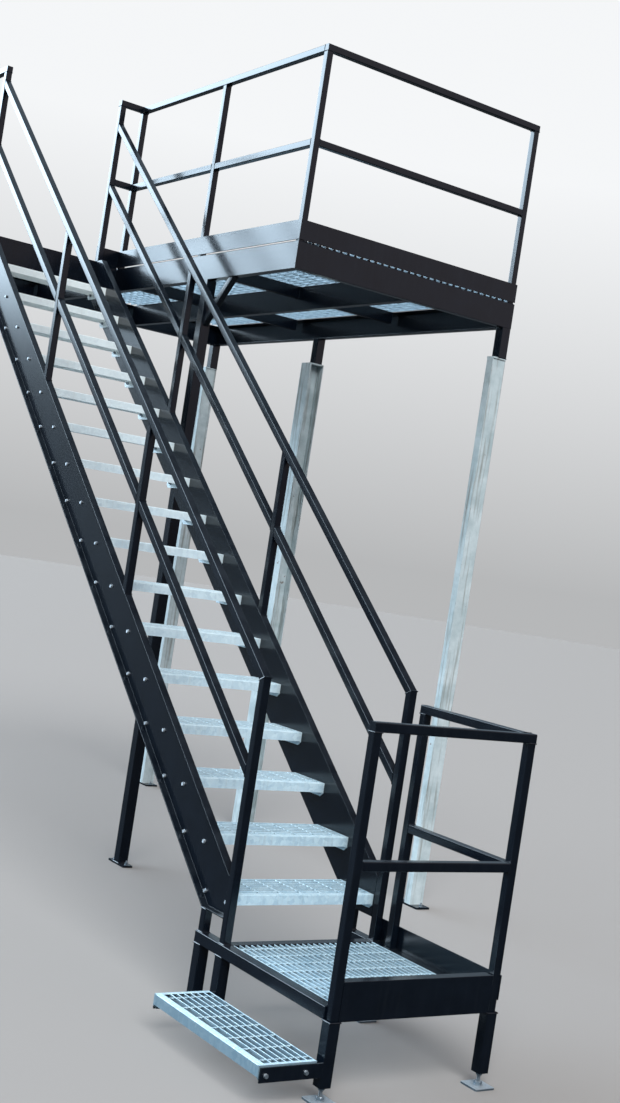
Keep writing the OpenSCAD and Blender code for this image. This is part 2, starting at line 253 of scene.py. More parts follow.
weather = make_weather_and_shade()
print("group", weather.name, "with", len(weather.nodes), "nodes")

# %% [markdown]
# ## Edges that catch the light
# Paint thins and chips on a sharp edge. The Bevel node bends the normal near an edge, and where
# that bent normal departs from the true one there is an edge. Noise breaks the line up, so only
# some stretches are worn. On the black enamel those stretches are lightened, which is wear and
# a painted highlight along the edge.

# %% The edge wear and painted highlight group
BENT_NORMAL = (0.98, 0.86)
WORN_PATCHES = (0.52, 0.66)


def make_edge_wear_and_highlight():
    """A mask of the worn stretches of each edge, which the black enamel also uses as a painted highlight."""
    group, given, end = new_group("edge_wear", {"Reach": 4 * MM, "Scale": 30.0, "Amount": 0.5}, ("Wear",))
    bent = add(group, "ShaderNodeBevel", settings={"samples": 4}, Radius=given["Reach"])
    agree = add(group, "ShaderNodeVectorMath", settings={"operation": "DOT_PRODUCT"},
                _0=bent.outputs[0], _1=facing(group)).outputs["Value"]
    noise = add(group, "ShaderNodeTexNoise", Vector=object_place(group), Scale=given["Scale"], Detail=5.0)
    broken = remap(group, noise.outputs["Fac"], *WORN_PATCHES)
    worn = through(group, remap(group, agree, *BENT_NORMAL), broken)
    feed(group, end, Wear=through(group, worn, given["Amount"]))
    return group


edge_wear = make_edge_wear_and_highlight()
print("group", edge_wear.name, "with", len(edge_wear.nodes), "nodes")

# %% [markdown]
# ## Black gloss enamel
# The tubes, channels and plates are sprayed with black gloss. The colour is nearly nothing, and
# what one sees is the clear coat over it, so the base's own reflection is switched off: a second,
# softer mirror under the coat would only grey the black. The bump is orange peel, a noise so
# shallow that it just ripples what the coat mirrors. Dust, streaks and worn edges are laid on in
# that order, as they are on the real steel, and the worn edges are lightened also as a painted
# highlight.

# %% Make the black paint
# The blue in these blacks is the blue of the shade light, painted into the colour
BLACK = (0.0016, 0.0034, 0.0068, 1)
BLACK_FADED = (0.0030, 0.0056, 0.0105, 1)
DUST_ON_BLACK = (0.040, 0.048, 0.056, 1)
STREAKS_ON_BLACK = (0.022, 0.027, 0.032, 1)
# Worn edges, lightened also as a painted highlight
BLACK_WORN_AND_HIGHLIT = (0.120, 0.135, 0.150, 1)
FADED_PATCHES = (0.35, 0.7)
# A span of the mottle, and the roughness at its two ends
BLACK_ROUGHNESS = (0.3, 0.75, 0.26, 0.40)


def new_material(name):
    """A material with the shader that Blender starts it with."""
    material = bpy.data.materials.new(name)
    material.use_nodes = True
    tree = material.node_tree
    return material, tree, tree.nodes["Principled BSDF"]


def make_black_paint():
    """Gloss black under dust, streaks and worn edges that are also a painted highlight."""
    material, tree, shader = new_material("black_gloss_enamel")
    marks = place_group(tree, weather, Scale=1.0, Dust=0.30, Streaks=0.12)
    worn = place_group(tree, edge_wear, Reach=3 * MM, Scale=26.0, Amount=0.30)
    deep = blend_colours(tree, remap(tree, marks["Mottle"], *FADED_PATCHES), BLACK, BLACK_FADED)
    dusty = blend_colours(tree, marks["Dust"], deep, DUST_ON_BLACK)
    streaked = blend_colours(tree, marks["Streaks"], dusty, STREAKS_ON_BLACK)
    # Worn edges lightened, which is partly a painted highlight
    colour = blend_colours(tree, worn["Wear"], streaked, BLACK_WORN_AND_HIGHLIT)
    roughness = remap(tree, marks["Mottle"], *BLACK_ROUGHNESS)
    peel = add(tree, "ShaderNodeTexNoise", "orange peel", Vector=object_place(tree), Scale=260.0, Detail=2.0)
    bump = add(tree, "ShaderNodeBump", Strength=0.02, Distance=0.6 * MM, Height=peel.outputs["Fac"])
    feed(tree, shader, Base_Color=colour, Roughness=roughness, Coat_Weight=1.0, Coat_Roughness=0.19,
         Specular_IOR_Level=0.0, Normal=bump.outputs[0])
    return material


black_paint = make_black_paint()
print(black_paint.name, "has", len(black_paint.node_tree.nodes), "nodes")

# %% [markdown]
# ## Hot-dip zinc
# The treads and gratings were dipped in molten zinc, which freezes in flat crystals called
# spangle. A Voronoi texture has the same cells, each with its own random grey. Over it lies the
# pale bloom that zinc grows outdoors, and painted shade in the hollows. Near the ground, whatever
# doesn't face up is darkened as painted shade, as on the front of the entry step, and the higher
# a tread is the paler it is painted, as painted light. The treads are bright, the high decks are a
# darker copy as painted shade, and the bolts are a harder plating, so the recipe is given its colours.

# %% Make the zinc
DUST_ON_ZINC = (0.34, 0.37, 0.37, 1)
STREAKS_ON_ZINC = (0.28, 0.33, 0.35, 1)
# Painted shade for the hollows
PAINTED_SHADE_IN_HOLLOWS = (0.060, 0.080, 0.095, 1)
# Painted light: zinc is painted paler the higher it stands
PAINTED_LIGHT_ZINC = (0.96, 0.98, 0.95, 1)
PAINTED_LIGHT_HEIGHTS = (0.4, 3.5)
# Painted shade: faces near the ground that don't face up are darkened
PAINTED_SHADE_NEAR_GROUND = (0.055, 0.100, 0.135, 1)
LOW_SHADE_HEIGHTS = (0.30, 0.16)
LOW_SHADE_FACES = (0.6, 0.2)
LOW_SHADE_MOST = 0.72
BLOOM_PATCHES = (0.50, 0.72, 0.0, 0.75)
ZINC_ROUGHNESS = (0.3, 0.7, 0.34, 0.62)


def make_zinc(name, bright, dull, spangle_scale, metal, grime, lightened=0.0):
    """Zinc between a bright and a dull grey, painted paler the higher it stands, as painted light."""
    material, tree, shader = new_material(name)
    place = object_place(tree)
    cells = add(tree, "ShaderNodeTexVoronoi", "spangle", Vector=place, Scale=spangle_scale)
    cell_grey = add(tree, "ShaderNodeSeparateColor", Color=cells.outputs["Color"]).outputs[0]
    marks = place_group(tree, weather, Scale=1.6, Dust=grime, Streaks=grime, Hollows=0.72)
    spangled = blend_colours(tree, cell_grey, dull, bright)
    bloom = blend_colours(tree, remap(tree, marks["Mottle"], *BLOOM_PATCHES), spangled, bright)
    dusty = blend_colours(tree, marks["Dust"], bloom, DUST_ON_ZINC)
    streaked = blend_colours(tree, marks["Streaks"], dusty, STREAKS_ON_ZINC)
    # Painted shade laid into the hollows
    with_painted_shade = blend_colours(tree, marks["Hollows"], streaked, PAINTED_SHADE_IN_HOLLOWS)
    above_ground = height_of(tree, place)
    # Painted light that grows with height
    paler_by_height = remap(tree, above_ground, *PAINTED_LIGHT_HEIGHTS, 0.0, lightened)
    with_painted_light = blend_colours(tree, paler_by_height, with_painted_shade, PAINTED_LIGHT_ZINC)
    # Painted shade on the low faces that don't face up
    near_ground = remap(tree, above_ground, *LOW_SHADE_HEIGHTS, 0.0, LOW_SHADE_MOST)
    low_shade = through(tree, near_ground, remap(tree, height_of(tree, facing(tree)), *LOW_SHADE_FACES))
    colour = blend_colours(tree, low_shade, with_painted_light, PAINTED_SHADE_NEAR_GROUND)
    roughness = remap(tree, marks["Mottle"], *ZINC_ROUGHNESS)
    grain = add(tree, "ShaderNodeTexNoise", "zinc skin", Vector=place, Scale=420.0, Detail=3.0)
    bump = add(tree, "ShaderNodeBump", Strength=0.22, Distance=0.8 * MM, Height=grain.outputs["Fac"])
    feed(tree, shader, Base_Color=colour, Roughness=roughness, Metallic=metal, Normal=bump.outputs[0])
    return material


# The blue of these zincs is the blue of the shade light, painted into the colour
zinc_deck = make_zinc("zinc_deck", bright=(0.66, 0.86, 0.96, 1), dull=(0.46, 0.67, 0.80, 1),
                      spangle_scale=55.0, metal=0.20, grime=0.20, lightened=0.75)
# The high decks' zinc is a darker copy of the same zinc, as painted shade
zinc_high = make_zinc("zinc_high", bright=(0.26, 0.37, 0.44, 1), dull=(0.18, 0.28, 0.35, 1),
                      spangle_scale=55.0, metal=0.20, grime=0.35)
bolt_zinc = make_zinc("bolt_zinc", bright=(0.66, 0.70, 0.74, 1), dull=(0.50, 0.55, 0.60, 1),
                      spangle_scale=160.0, metal=0.70, grime=0.10)
print("zincs:", zinc_deck.name, zinc_high.name, bolt_zinc.name)

# %% [markdown]
# ## Old pale paint
# Three of the columns are older steel than the rest. Their grey-green paint has chalked, and rain
# has washed soot and rust down it. Chips show primer and bare rust, so the colour mixes three
# layers by noise, and the chips sink a little in the bump.

# %% Make the old paint
CHALK_DARK = (0.42, 0.51, 0.53, 1)
CHALK_PALE = (0.64, 0.72, 0.74, 1)
SOOT = (0.17, 0.155, 0.125, 1)
RUST = (0.150, 0.075, 0.040, 1)
CHIP_EDGES = (0.66, 0.70)
CHALK_PATCHES = (0.35, 0.68)
OLD_ROUGHNESS = (0.3, 0.7, 0.55, 0.85)


def make_old_paint():
    """Chalky paint that has chipped down to rust."""
    material, tree, shader = new_material("old_pale_paint")
    marks = place_group(tree, weather, Scale=1.0, Dust=0.5, Streaks=0.9)
    worn = place_group(tree, edge_wear, Reach=6 * MM, Scale=14.0, Amount=0.9)
    chips = add(tree, "ShaderNodeTexNoise", "chips", Vector=object_place(tree), Scale=11.0, Detail=9.0,
                Roughness=0.7)
    chipped = remap(tree, chips.outputs["Fac"], *CHIP_EDGES)
    chalk = blend_colours(tree, remap(tree, marks["Mottle"], *CHALK_PATCHES), CHALK_DARK, CHALK_PALE)
    sooty = blend_colours(tree, marks["Streaks"], chalk, SOOT)
    lost = add(tree, "ShaderNodeMath", "chipped or worn", {"operation": "MAXIMUM"}, _0=chipped,
               _1=worn["Wear"]).outputs[0]
    colour = blend_colours(tree, lost, sooty, RUST)
    roughness = remap(tree, marks["Mottle"], *OLD_ROUGHNESS)
    bump = add(tree, "ShaderNodeBump", "sunken chips", {"invert": True}, Strength=0.6,
               Distance=0.8 * MM, Height=lost)
    feed(tree, shader, Base_Color=colour, Roughness=roughness, Normal=bump.outputs[0])
    return material


old_paint = make_old_paint()
print(old_paint.name, "has", len(old_paint.node_tree.nodes), "nodes")

# %% [markdown]
# ## Turning a bmesh into a piece
# Each new piece is built in a bmesh, in metres and in place, so its object stays at the origin.
# It rides on the stair's one body and takes the finish that it is given. A piece with
# rounded parts is shaded smooth, but its real corners stay sharp, and weighted normals keep the
# large flat faces flat.

# %% Finish a piece
SHARP_CORNER = math.radians(38)


def finish_piece(name, shape, material, stands_for=()):
    """Makes a bmesh an object with its finish, in place of the nodes that it stands for."""
    mesh = bpy.data.meshes.new(name)
    shape.to_mesh(mesh)
    shape.free()
    piece = new_object(name, mesh)
    mesh.materials.append(material)
    mesh.shade_smooth()
    mesh.set_sharp_from_angle(angle=SHARP_CORNER)
    piece.modifiers.new("even shading", "WEIGHTED_NORMAL").keep_sharp = True
    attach(piece, "root")
    if stands_for:
        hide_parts(*stands_for)
    return piece


print("corners over", round(math.degrees(SHARP_CORNER)), "degrees stay sharp")

# %% [markdown]
# ## Patterns and stamping
# Bolts, bars and beads come in hundreds, so each kind is made once as a pattern mesh and stamped
# wherever it is needed. A change to the pattern then changes every copy.

# %% Stamp a pattern


def as_pattern(name, shape):
    """Keeps a bmesh as a mesh to stamp with, its faces turned outwards."""
    mesh = bpy.data.meshes.new(name)
    bmesh.ops.recalc_face_normals(shape, faces=shape.faces)
    shape.to_mesh(mesh)
    shape.free()
    return mesh


def stamp(shape, pattern, matrix):
    """Adds a copy of a pattern to a bmesh, placed by a matrix."""
    placed = pattern.copy()
    placed.transform(matrix)
    shape.from_mesh(placed)
    bpy.data.meshes.remove(placed)


print("helpers: as_pattern and stamp")

# %% [markdown]
# ## Rounded tubes and channels
# A mill never makes a sharp corner, and a glossy corner shows it by a thin bright line. The frame's
# solids have square corners, so each node of sections is copied, its triangles are merged back
# into flat faces, and the edges that run along the bar are bevelled. The cut ends stay square,
# because that is where the next bar is welded on. A node holds several bars, so its solids are
# first told apart by walking from point to point along the edges.

# %% Tell the bars of a node apart
SAME_POINT = 0.02 * MM
SAME_PLANE = math.radians(0.5)


def merged_copy(node):
    """A CAD node's mesh with its triangles joined into flat faces."""
    shape = bmesh.new()
    shape.from_mesh(frame["nodes"][node].data)
    bmesh.ops.remove_doubles(shape, verts=shape.verts, dist=SAME_POINT)
    bmesh.ops.dissolve_limit(shape, angle_limit=SAME_PLANE, verts=shape.verts, edges=shape.edges)
    return shape


def each_once(items):
    """The items in order, without repeats. A set's order changes with each run."""
    return list(dict.fromkeys(items))


def islands(shape):
    """The separate solids of a mesh, each as a list of its vertices."""
    left = dict.fromkeys(shape.verts)
    while left:
        found = [left.popitem()[0]]
        for vert in found:
            for edge in vert.link_edges:
                other = edge.other_vert(vert)
                if other in left:
                    del left[other]
                    found.append(other)
        yield found


def edges_of(verts):
    """Every edge that touches the points."""
    return each_once(edge for vert in verts for edge in vert.link_edges)


def direction(edge):
    """The way an edge points, with length 1."""
    return (edge.verts[1].co - edge.verts[0].co).normalized()


def length_way(verts):
    """The way a bar runs, which is that of its longest edge."""
    return direction(max(edges_of(verts), key=lambda edge: edge.calc_length()))


legs = merged_copy("landing_legs")
print("the landing stands on", len(list(islands(legs))), "legs")
legs.free()

# %% Round the long edges
LONGWAYS = math.cos(math.radians(40))
TUBE_CORNER = 4 * MM
OLD_COLUMN_CORNER = 3 * MM
CHANNEL_CORNER = 2 * MM
PLATE_CORNER = 1 * MM
tubes = ["landing_legs", "landing_side_beams", "landing_posts", "landing_front_rails",
         "landing_side_rails", "stringer_struts", "left_flight_posts", "right_flight_posts",
         "flight_top_rails", "flight_middle_rails", "columns", "stub_legs", "knee_brace",
         "platform_joists", "platform_posts", "platform_front_rails", "platform_left_rails",
         "return_rails", "top_landing_rails"]
channels = ["landing_cross_beams", "landing_front_channel", "left_stringer", "right_stringer",
            "platform_front_channel", "platform_far_channel", "platform_side_channels",
            "top_landing_front_channel", "top_landing_left_channel"]
plates = ["landing_toe_plate", "front_toe_plates", "side_toe_plates", "step_arms", "column_bases"]


def ease(shape, parts, offset, segments=1, affect="EDGES"):
    """Bevels edges or points, with the settings that every bevel here shares."""
    return bmesh.ops.bevel(shape, geom=parts, offset=offset, segments=segments, profile=0.5,
                           affect=affect, clamp_overlap=True, material=-1)


def long_edges(shape):
    """The edges that run along each solid's own length."""
    chosen = []
    for verts in islands(shape):
        along = length_way(verts)
        chosen += [edge for edge in edges_of(verts) if abs(direction(edge).dot(along)) > LONGWAYS]
    return chosen


def round_bars(node, radius, material=black_paint):
    """Stands in for a node of bars, with the long corners rounded."""
    shape = merged_copy(node)
    ease(shape, long_edges(shape), radius, segments=3)
    name = node.replace("_", " ").title().replace(" ", "") + "Rounded"
    return finish_piece(name, shape, material, stands_for=[node])


for names, radius in ((tubes, TUBE_CORNER), (channels, CHANNEL_CORNER), (plates, PLATE_CORNER)):
    for name in names:
        round_bars(name, radius)
round_bars("wall_side_columns", OLD_COLUMN_CORNER, old_paint)
print(len(tubes), "nodes of tube,", len(channels), "of channel and", len(plates), "of plate rounded")

# %% [markdown]
# ## Where the welds are
# Every tube is welded where its end meets another bar. The script looks for such ends: an end face
# with four corners, whose middle and a point near each corner all lie on another solid's surface. A
# BVH tree answers fast how near a surface is to a point. The levelling feet are left out, since a
# stud screws into its leg.

# %% Find the welded ends
TOUCH = 0.7 * MM
SAME_WELD = 8 * MM
ACROSS_THE_BAR = 0.5
TOWARD_CORNER = 0.7
steel = []


def surface_tree(verts, faces):
    """A tree of one solid's faces, to ask for the nearest point."""
    order = {vert: i for i, vert in enumerate(verts)}
    return BVHTree.FromPolygons([vert.co.copy() for vert in verts],
                                [[order[vert] for vert in face.verts] for face in faces])


def middle_of(corners):
    """The mean of some points."""
    return sum(corners, Vector()) / len(corners)


def rests_on_steel(corners, own):
    """True where an end face lies on another solid, at its middle and near its corners."""
    middle = middle_of(corners)
    points = [middle] + [middle.lerp(corner, TOWARD_CORNER) for corner in corners]
    for name, tree, _ in steel:
        if tree is own or name == "levelling_feet":
            continue
        if all(tree.find_nearest(point, TOUCH)[0] for point in points):
            return True
    return False


for name in frame["nodes"]:
    shape = merged_copy(name)
    for verts in islands(shape):
        faces = each_once(face for vert in verts for face in vert.link_faces)
        along = length_way(verts)
        ends = [([vert.co.copy() for vert in face.verts], face.normal.copy()) for face in faces
                if len(face.verts) == 4 and abs(face.normal.dot(along)) > ACROSS_THE_BAR]
        steel.append((name, surface_tree(verts, faces), ends))
    shape.free()

welded = []
for name, tree, ends in steel:
    if name not in tubes:
        continue
    for corners, out in ends:
        middle = middle_of(corners)
        if all((middle - other[0]).length > SAME_WELD for other in welded) and rests_on_steel(corners, tree):
            welded.append((middle, corners, out))
print(len(steel), "solids,", len(welded), "welded ends")

# %% [markdown]
# ## Weld beads
# Round each end goes a bead. The face's outline is cut into short pieces and extruded in four steps
# along the bar, a little wider in the middle ones, which gives a rounded ridge. Bridging the last
# ring to the first closes it inside. A small wave along it stands for the welder's steady stops.
# Where a bead would stand out past the steelwork's own box it is ground off a hair below the face,
# since two faces in one plane render as black specks.

# %% Lay a bead round each
BEAD_STEP = 4.5 * MM
BEAD_WAVE = 0.3 * MM
FLUSH = 0.1 * MM
# How far back from the bar's end each step lies, and how far it stands out
BEAD_SHAPE = ((3.2 * MM, -0.2 * MM), (1.6 * MM, 1.5 * MM), (0, 2.1 * MM), (-1.6 * MM, 1.5 * MM),
              (-3.2 * MM, -0.2 * MM))


def outline(width, depth):
    """A rectangle round the origin, as a ring of short edges."""
    ring = bmesh.new()
    bmesh.ops.create_grid(ring, x_segments=1, y_segments=1, size=0.5,
                          matrix=Matrix.Diagonal((width, depth, 1, 1)))
    bmesh.ops.delete(ring, geom=ring.faces[:], context="FACES_ONLY")
    for edge in ring.edges[:]:
        bmesh.ops.subdivide_edges(ring, edges=[edge], cuts=round(edge.calc_length() / BEAD_STEP) - 1)
    return ring


def add_bead(shape, middle, corners, out):
    """A ridge round an end face, from the bar onto what it is welded to."""
    side = (corners[1] - corners[0]).normalized()
    up = out.cross(side)
    axes = Matrix((side, up, out)).transposed().to_4x4()
    axes.translation = middle
    half = [max(abs((corner - middle).dot(axis)) for corner in corners) for axis in (side, up)]
    ring = outline(half[0] * 2, half[1] * 2)
    first = ring.edges[:]
    edges, level, wide = first, 0.0, 0.0
    for step, (back, outset) in enumerate(BEAD_SHAPE):
        if step:
            pulled = bmesh.ops.extrude_edge_only(ring, edges=edges)["geom"]
            edges = [part for part in pulled if isinstance(part, bmesh.types.BMEdge)
                     and all(len(vert.link_faces) <= 2 for vert in part.verts) and part.is_boundary]
        verts = each_once(vert for edge in edges for vert in edge.verts)
        scale = [(size + outset) / (size + wide) for size in half]
        bmesh.ops.scale(ring, verts=verts, vec=(scale[0], scale[1], 1))
        bmesh.ops.translate(ring, verts=verts, vec=(0, 0, -back - level))
        level, wide = -back, outset
    bmesh.ops.bridge_loops(ring, edges=first + edges)
    for vert in ring.verts:
        wave = math.cos(math.pi * (vert.co.x + vert.co.y) / BEAD_STEP) * BEAD_WAVE
        vert.co += Vector((vert.co.x, vert.co.y, 0)).normalized() * wave
    stamp(shape, as_pattern("bead", ring), axes)


beads = bmesh.new()
for middle, corners, out in welded:
    add_bead(beads, middle, corners, out)
for vert in beads.verts:
    vert.co = [min(max(value, low + FLUSH), high - FLUSH) for value, low, high in zip(vert.co, *cad_box)]
print("beads have", len(beads.faces), "faces")
finish_piece("WeldBeads", beads, black_paint)

# %% [markdown]
# ## The frame's own meshes
# Every node of the frame now has a piece that stands for it, or gets one below. The frame is kept
# with the object all the same, so each node gets the finish of the slot that the record gives it.

# %% Colour the frame's own meshes
finishes = {"paint": black_paint, "pale_paint": old_paint, "galvanised": zinc_deck}
for subpart in frame["record"]["subparts"]:
    mesh = frame["nodes"][subpart["node"]].data
    mesh.materials.clear()
    mesh.materials.append(finishes[subpart["material_slot"]])
print(len(finishes), "finishes on", len(frame["nodes"]), "nodes")

# %% [markdown]
# ## A kit of small steel shapes
# Gratings, treads and bolts come from a few parts: a block between two corners, a round or
# six-sided bar, a flat bar with eased edges, and a square rod that is twisted along its length. The
# twist comes from sweeping a square along an axis while it turns.

# %% Blocks and bars
BAR_EASE = 0.8 * MM
ALONG = 0.9


def add_block(shape, low, high):
    """A block between two corners."""
    low, high = Vector(low), Vector(high)
    place = Matrix.Translation((low + high) / 2) @ Matrix.Diagonal((*(high - low), 1))
    return bmesh.ops.create_cube(shape, size=1, matrix=place)["verts"]


def edges_along(verts, axis):
    """The edges that run along one axis, given as 0, 1 or 2."""
    return [edge for edge in edges_of(verts) if abs(direction(edge)[axis]) > ALONG]


def top_edges(verts, top):
    """The edges that lie at a height."""
    return [edge for edge in edges_of(verts) if all(abs(end.co.z - top) < SAME_POINT for end in edge.verts)]


def add_bar(shape, low, high):
    """A block with its long edges eased."""
    verts = add_block(shape, low, high)
    size = [high[axis] - low[axis] for axis in range(3)]
    ease(shape, edges_along(verts, size.index(max(size))), BAR_EASE)


def add_round(shape, sides, radius, low, high, place=(0, 0, 0)):
    """An upright bar with flat ends between two heights, round or with few sides."""
    middle = Matrix.Translation(Vector(place) + Vector((0, 0, (low + high) / 2)))
    return bmesh.ops.create_cone(shape, cap_ends=True, segments=sides, radius1=radius, radius2=radius,
                                 depth=high - low, matrix=middle)["verts"]


print("bars are eased by", BAR_EASE / MM, "mm")

# %% A twisted rod
ROD = 6 * MM
ROD_TURN = 64 * MM
STEPS_PER_TURN = 12


def twisted_rod(length):
    """A square rod along X, twisted by sweeping a square as it turns and moves on."""
    steps = round(length / ROD_TURN * STEPS_PER_TURN)
    shape = bmesh.new()
    stand = Matrix.Rotation(math.radians(90), 4, "Y")
    bmesh.ops.create_circle(shape, segments=4, radius=ROD / math.sqrt(2), matrix=stand)
    bmesh.ops.spin(shape, geom=shape.verts[:] + shape.edges[:], axis=(1, 0, 0), cent=(0, 0, 0),
                   dvec=(length / steps, 0, 0), angle=math.tau * steps / STEPS_PER_TURN, steps=steps)
    bmesh.ops.holes_fill(shape, edges=shape.edges, sides=4)
    return as_pattern("rod", shape)


print("a rod turns once in", round(ROD_TURN / MM), "mm")

# %% [markdown]
# ## A folded nosing
# A tread's front edge is a folded angle. It starts as one flat strip: the front edge is pulled
# down, the fold is rounded, and only then does the sheet get its thickness. Three ribs are rolled
# into its top, so that a wet shoe grips.

# %% Fold the nosing
NOSE_TALL = 44 * MM
NOSE_WIDE = 30 * MM
SHEET = 5 * MM
FOLD = 4 * MM
RIB_BACKS = (9 * MM, 16 * MM, 23 * MM)
RIB_WIDE = 3 * MM
RIB_TALL = 0.9 * MM
RIB_SUNK = 1 * MM


def add_nosing(shape, start, end):
    """A folded angle along X, with ribs rolled into its top."""
    flat = bmesh.new()
    place = (Matrix.Translation(((start + end) / 2, NOSE_WIDE / 2, 0))
             @ Matrix.Diagonal((end - start, NOSE_WIDE, 1, 1)))
    bmesh.ops.create_grid(flat, x_segments=1, y_segments=1, size=0.5, matrix=place)
    front = [edge for edge in flat.edges if all(vert.co.y < MM for vert in edge.verts)]
    pulled = bmesh.ops.extrude_edge_only(flat, edges=front)["geom"]
    down = [part for part in pulled if isinstance(part, bmesh.types.BMVert)]
    bmesh.ops.translate(flat, verts=down, vec=(0, 0, -NOSE_TALL))
    ease(flat, front, FOLD, segments=4)
    bmesh.ops.recalc_face_normals(flat, faces=flat.faces)
    if max(flat.faces, key=lambda face: face.calc_center_median().z).normal.z < 0:
        bmesh.ops.reverse_faces(flat, faces=flat.faces)
    bmesh.ops.solidify(flat, geom=flat.faces[:], thickness=SHEET)
    stamp(shape, as_pattern("nosing", flat), Matrix.Identity(4))
    for back in RIB_BACKS:
        add_bar(shape, (start + RIB_WIDE, back - RIB_WIDE / 2, -RIB_SUNK),
                (end - RIB_WIDE, back + RIB_WIDE / 2, RIB_TALL))


print("nosings are", round(NOSE_TALL / MM), "mm tall and", round(NOSE_WIDE / MM), "mm wide")

# %% [markdown]
# ## Grating treads
# Behind the nosing a tread is thin bars on edge, tied by twisted rods that are forged into their
# tops. The nosing and the bars stop at end plates, which carry the bolts and have their lower
# corners clipped so that nothing snags. All sixteen treads are one pattern, stamped at the places
# that the frame gives. The entry step is the same tread made longer and turned to face left, with
# a flat ledge across its bars at each end. A ledge lies a hair below the bars' tops, for the same
# reason that beads do.

# %% Make one tread as a pattern
TREAD_DEPTH = 256 * MM
BAR = 5 * MM
BAR_TALL = 32 * MM
END_TALL = 64 * MM
END_CLIP = 16 * MM
TREAD_BARS = 7
TREAD_RODS = 7
ROD_SUNK = ROD * 0.75
LEDGE_TALL = 4 * MM
LEDGE_DROP = 0.3 * MM
QUARTER_TURN = Matrix.Rotation(math.radians(90), 4, "Z")


def add_end_plate(shape, x):
    """A tread's end plate, with its lower corners clipped."""
    verts = add_block(shape, (x, 0, -END_TALL), (x + SHEET, TREAD_DEPTH, 0))
    lower = [edge for edge in edges_along(verts, 0) if edge.verts[0].co.z < -END_TALL / 2]
    ease(shape, lower, END_CLIP)


def tread_pattern(length, ledge=0.0):
    """A tread from the origin along X and back along Y, with its deck at height 0."""
    shape = bmesh.new()
    add_nosing(shape, SHEET, length - SHEET)
    pitch = (TREAD_DEPTH - NOSE_WIDE - BAR) / TREAD_BARS
    for i in range(1, TREAD_BARS + 1):
        y = NOSE_WIDE + i * pitch
        add_bar(shape, (SHEET, y, -BAR_TALL), (length - SHEET, y + BAR, 0))
    rod = twisted_rod(TREAD_DEPTH - 2 * MM)
    for j in range(TREAD_RODS):
        x = (j + 0.5) * length / TREAD_RODS + ROD / 2
        stamp(shape, rod, Matrix.Translation((x, MM, -ROD_SUNK)) @ QUARTER_TURN)
    for x in (0, length - SHEET):
        add_end_plate(shape, x)
    if ledge:
        for x in (SHEET, length - SHEET - ledge):
            add_bar(shape, (x, MM, -LEDGE_TALL), (x + ledge, TREAD_DEPTH - MM, -LEDGE_DROP))
    return as_pattern("tread", shape)


tread_nodes = sorted(name for name in frame["nodes"] if name.startswith("tread_"))
low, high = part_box(tread_nodes[0])
flight_tread = tread_pattern(high.x - low.x)
print("one tread has", len(flight_tread.polygons), "faces")

# %% Place the treads and the entry step
STEP_LEDGE = 14 * MM


def place_tread(name, node, pattern, matrix):
    """One tread as a piece, in place of its node."""
    shape = bmesh.new()
    stamp(shape, pattern, matrix)
    return finish_piece(name, shape, zinc_deck, stands_for=[node])


for node in tread_nodes:
    low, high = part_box(node)
    place_tread(node.replace("tread_", "Tread") + "Grating", node, flight_tread,
                Matrix.Translation((low.x, low.y, high.z)))
low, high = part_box("entry_step")
place_tread("EntryStepGrating", "entry_step", tread_pattern(high.y - low.y, STEP_LEDGE),
            Matrix.Translation((low.x, high.y, high.z)) @ QUARTER_TURN.inverted())
print(len(tread_nodes), "treads and one step placed")

# %% [markdown]
# ## Deck gratings
# The decks are the same construction at a larger size. The number of bars and rods is the drawing's,
# and only their edges and the twist are new. Bars run along Y, the way the flight climbs, and rods
# across them. The high decks have lower bars than the landing's, and their zinc is a darker copy,
# as painted shade.

# %% Make the deck gratings
DECK_TALL = 20 * MM
LANDING_TALL = 32 * MM
PLATFORM_BARS = 32
PLATFORM_RODS = 11


def make_deck(node, name, bars, rods, tall=DECK_TALL, zinc=zinc_high):
    """A panel of bars along Y and twisted rods along X, as large as its node."""
    low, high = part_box(node)
    shape = bmesh.new()
    pitch = (high.x - low.x - BAR) / (bars - 1)
    for i in range(bars):
        x = low.x + i * pitch
        add_bar(shape, (x, low.y, high.z - tall), (x + BAR, high.y, high.z))
    rod = twisted_rod(high.x - low.x - 2 * MM)
    spacing = (high.y - low.y) / rods
    for j in range(rods):
        y = low.y + (j + 0.5) * spacing + ROD / 2
        stamp(shape, rod, Matrix.Translation((low.x + MM, y, high.z - ROD_SUNK)))
    print(name, "has bars every", round(pitch / MM), "mm")
    return finish_piece(name, shape, zinc, stands_for=[node])


make_deck("landing_grating", "LandingDeck", bars=26, rods=8, tall=LANDING_TALL, zinc=zinc_deck)
for part in ("front", "middle", "far"):
    make_deck(f"platform_grating_{part}", f"PlatformDeck{part.title()}", PLATFORM_BARS, PLATFORM_RODS)
make_deck("top_landing_grating", "TopLandingDeck", bars=20, rods=12)

# %% [markdown]
# ## Welds on the deck's bar ends
# The platform's toe plate hangs over the deck's edge and leaves a slit above the frame, and in it
# each bar's end is welded down and painted over. Seen from below, daylight shows between those
# lumps, so the slit reads as a row of bright dashes. A lump is a small ball, flattened and pushed
# into the slit, with just enough faces to look round.

